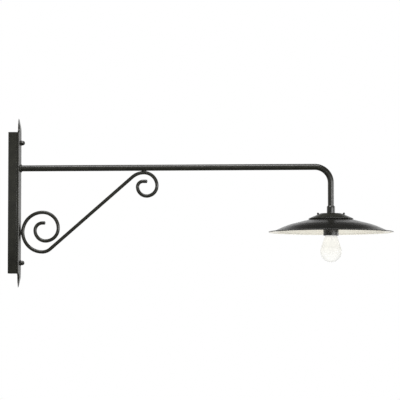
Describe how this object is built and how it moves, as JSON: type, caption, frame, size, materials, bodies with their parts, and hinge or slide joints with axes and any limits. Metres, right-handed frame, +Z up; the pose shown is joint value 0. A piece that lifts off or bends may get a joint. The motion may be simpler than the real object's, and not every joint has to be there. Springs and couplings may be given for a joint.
{
  "type": "outdoor wall lamp",
  "caption": "Outdoor wall lamp: a long tube arm on a scroll brace, a lance-ended wall plate over a narrow box, a wide shallow enamel shade and an opal bulb that unscrews.",
  "frame": {"origin": "on the wall, at the middle of the wall box", "axes": "+X out from the wall along the arm, +Z up"},
  "size_m": [1.085, 0.35, 0.48],
  "materials": {
    "wrought_iron": "satin",
    "enamel": "gloss",
    "zinc_steel": "satin",
    "brass": "satin",
    "phenolic": "gloss",
    "ceramic": "glazed",
    "opal_glass": "opal",
    "black_glass": "gloss",
    "cap_metal": "satin",
    "seal_rubber": "matte",
    "block_plastic": "matte",
    "wire_brown": "matte",
    "wire_blue": "matte",
    "wire_green": "matte"
  },
  "bodies": {
    "lamp": {"wall_strap": "zinc_steel", "mounting_studs": "zinc_steel", "wall_box": "wrought_iron", "front_plate": "wrought_iron", "sealing_washers": "seal_rubber", "dome_nuts": "wrought_iron", "arm_tube": "wrought_iron", "arm_weld": "wrought_iron", "scroll_brace": "wrought_iron", "scroll_welds": "wrought_iron", "tube_collar": "wrought_iron", "nipple": "zinc_steel", "nipple_nut": "zinc_steel", "shade_cap": "wrought_iron", "cap_gasket": "seal_rubber", "shade": "enamel", "shade_screws": "wrought_iron", "shade_nuts": "zinc_steel", "lampholder_body": "phenolic", "lampholder_core": "ceramic", "screw_shell": "brass", "centre_contact": "brass", "lampholder_posts": "brass", "terminal_block": "block_plastic", "terminal_tubes": "brass", "terminal_screws": "zinc_steel", "block_screw": "zinc_steel", "earth_stud": "zinc_steel", "earth_tag": "brass", "earth_nut": "zinc_steel", "tube_grommet": "seal_rubber", "live_wire": "wire_brown", "neutral_wire": "wire_blue", "earth_wire": "wire_green"},
    "bulb_feed": {"bulb_foot": "zinc_steel"},
    "bulb": {"bulb_insulator": "black_glass", "bulb_cap": "cap_metal", "bulb_glass": "opal_glass"}
  },
  "joints": [
    {"name": "bulb_feed", "type": "slide", "parent": "lamp", "child": "bulb_feed", "axis": [0, 0, -1], "range_m": [0, 0.01643]},
    {"name": "bulb_turn", "type": "hinge", "parent": "bulb_feed", "child": "bulb", "pos_m": [0.91, 0, -0.0616], "axis": [0, 0, -1], "range_deg": [0, 1620]}
  ],
  "couplings": [
    {"joint": "bulb_feed", "follows": "bulb_turn", "m_per_rad": 0.00057757}
  ]
}
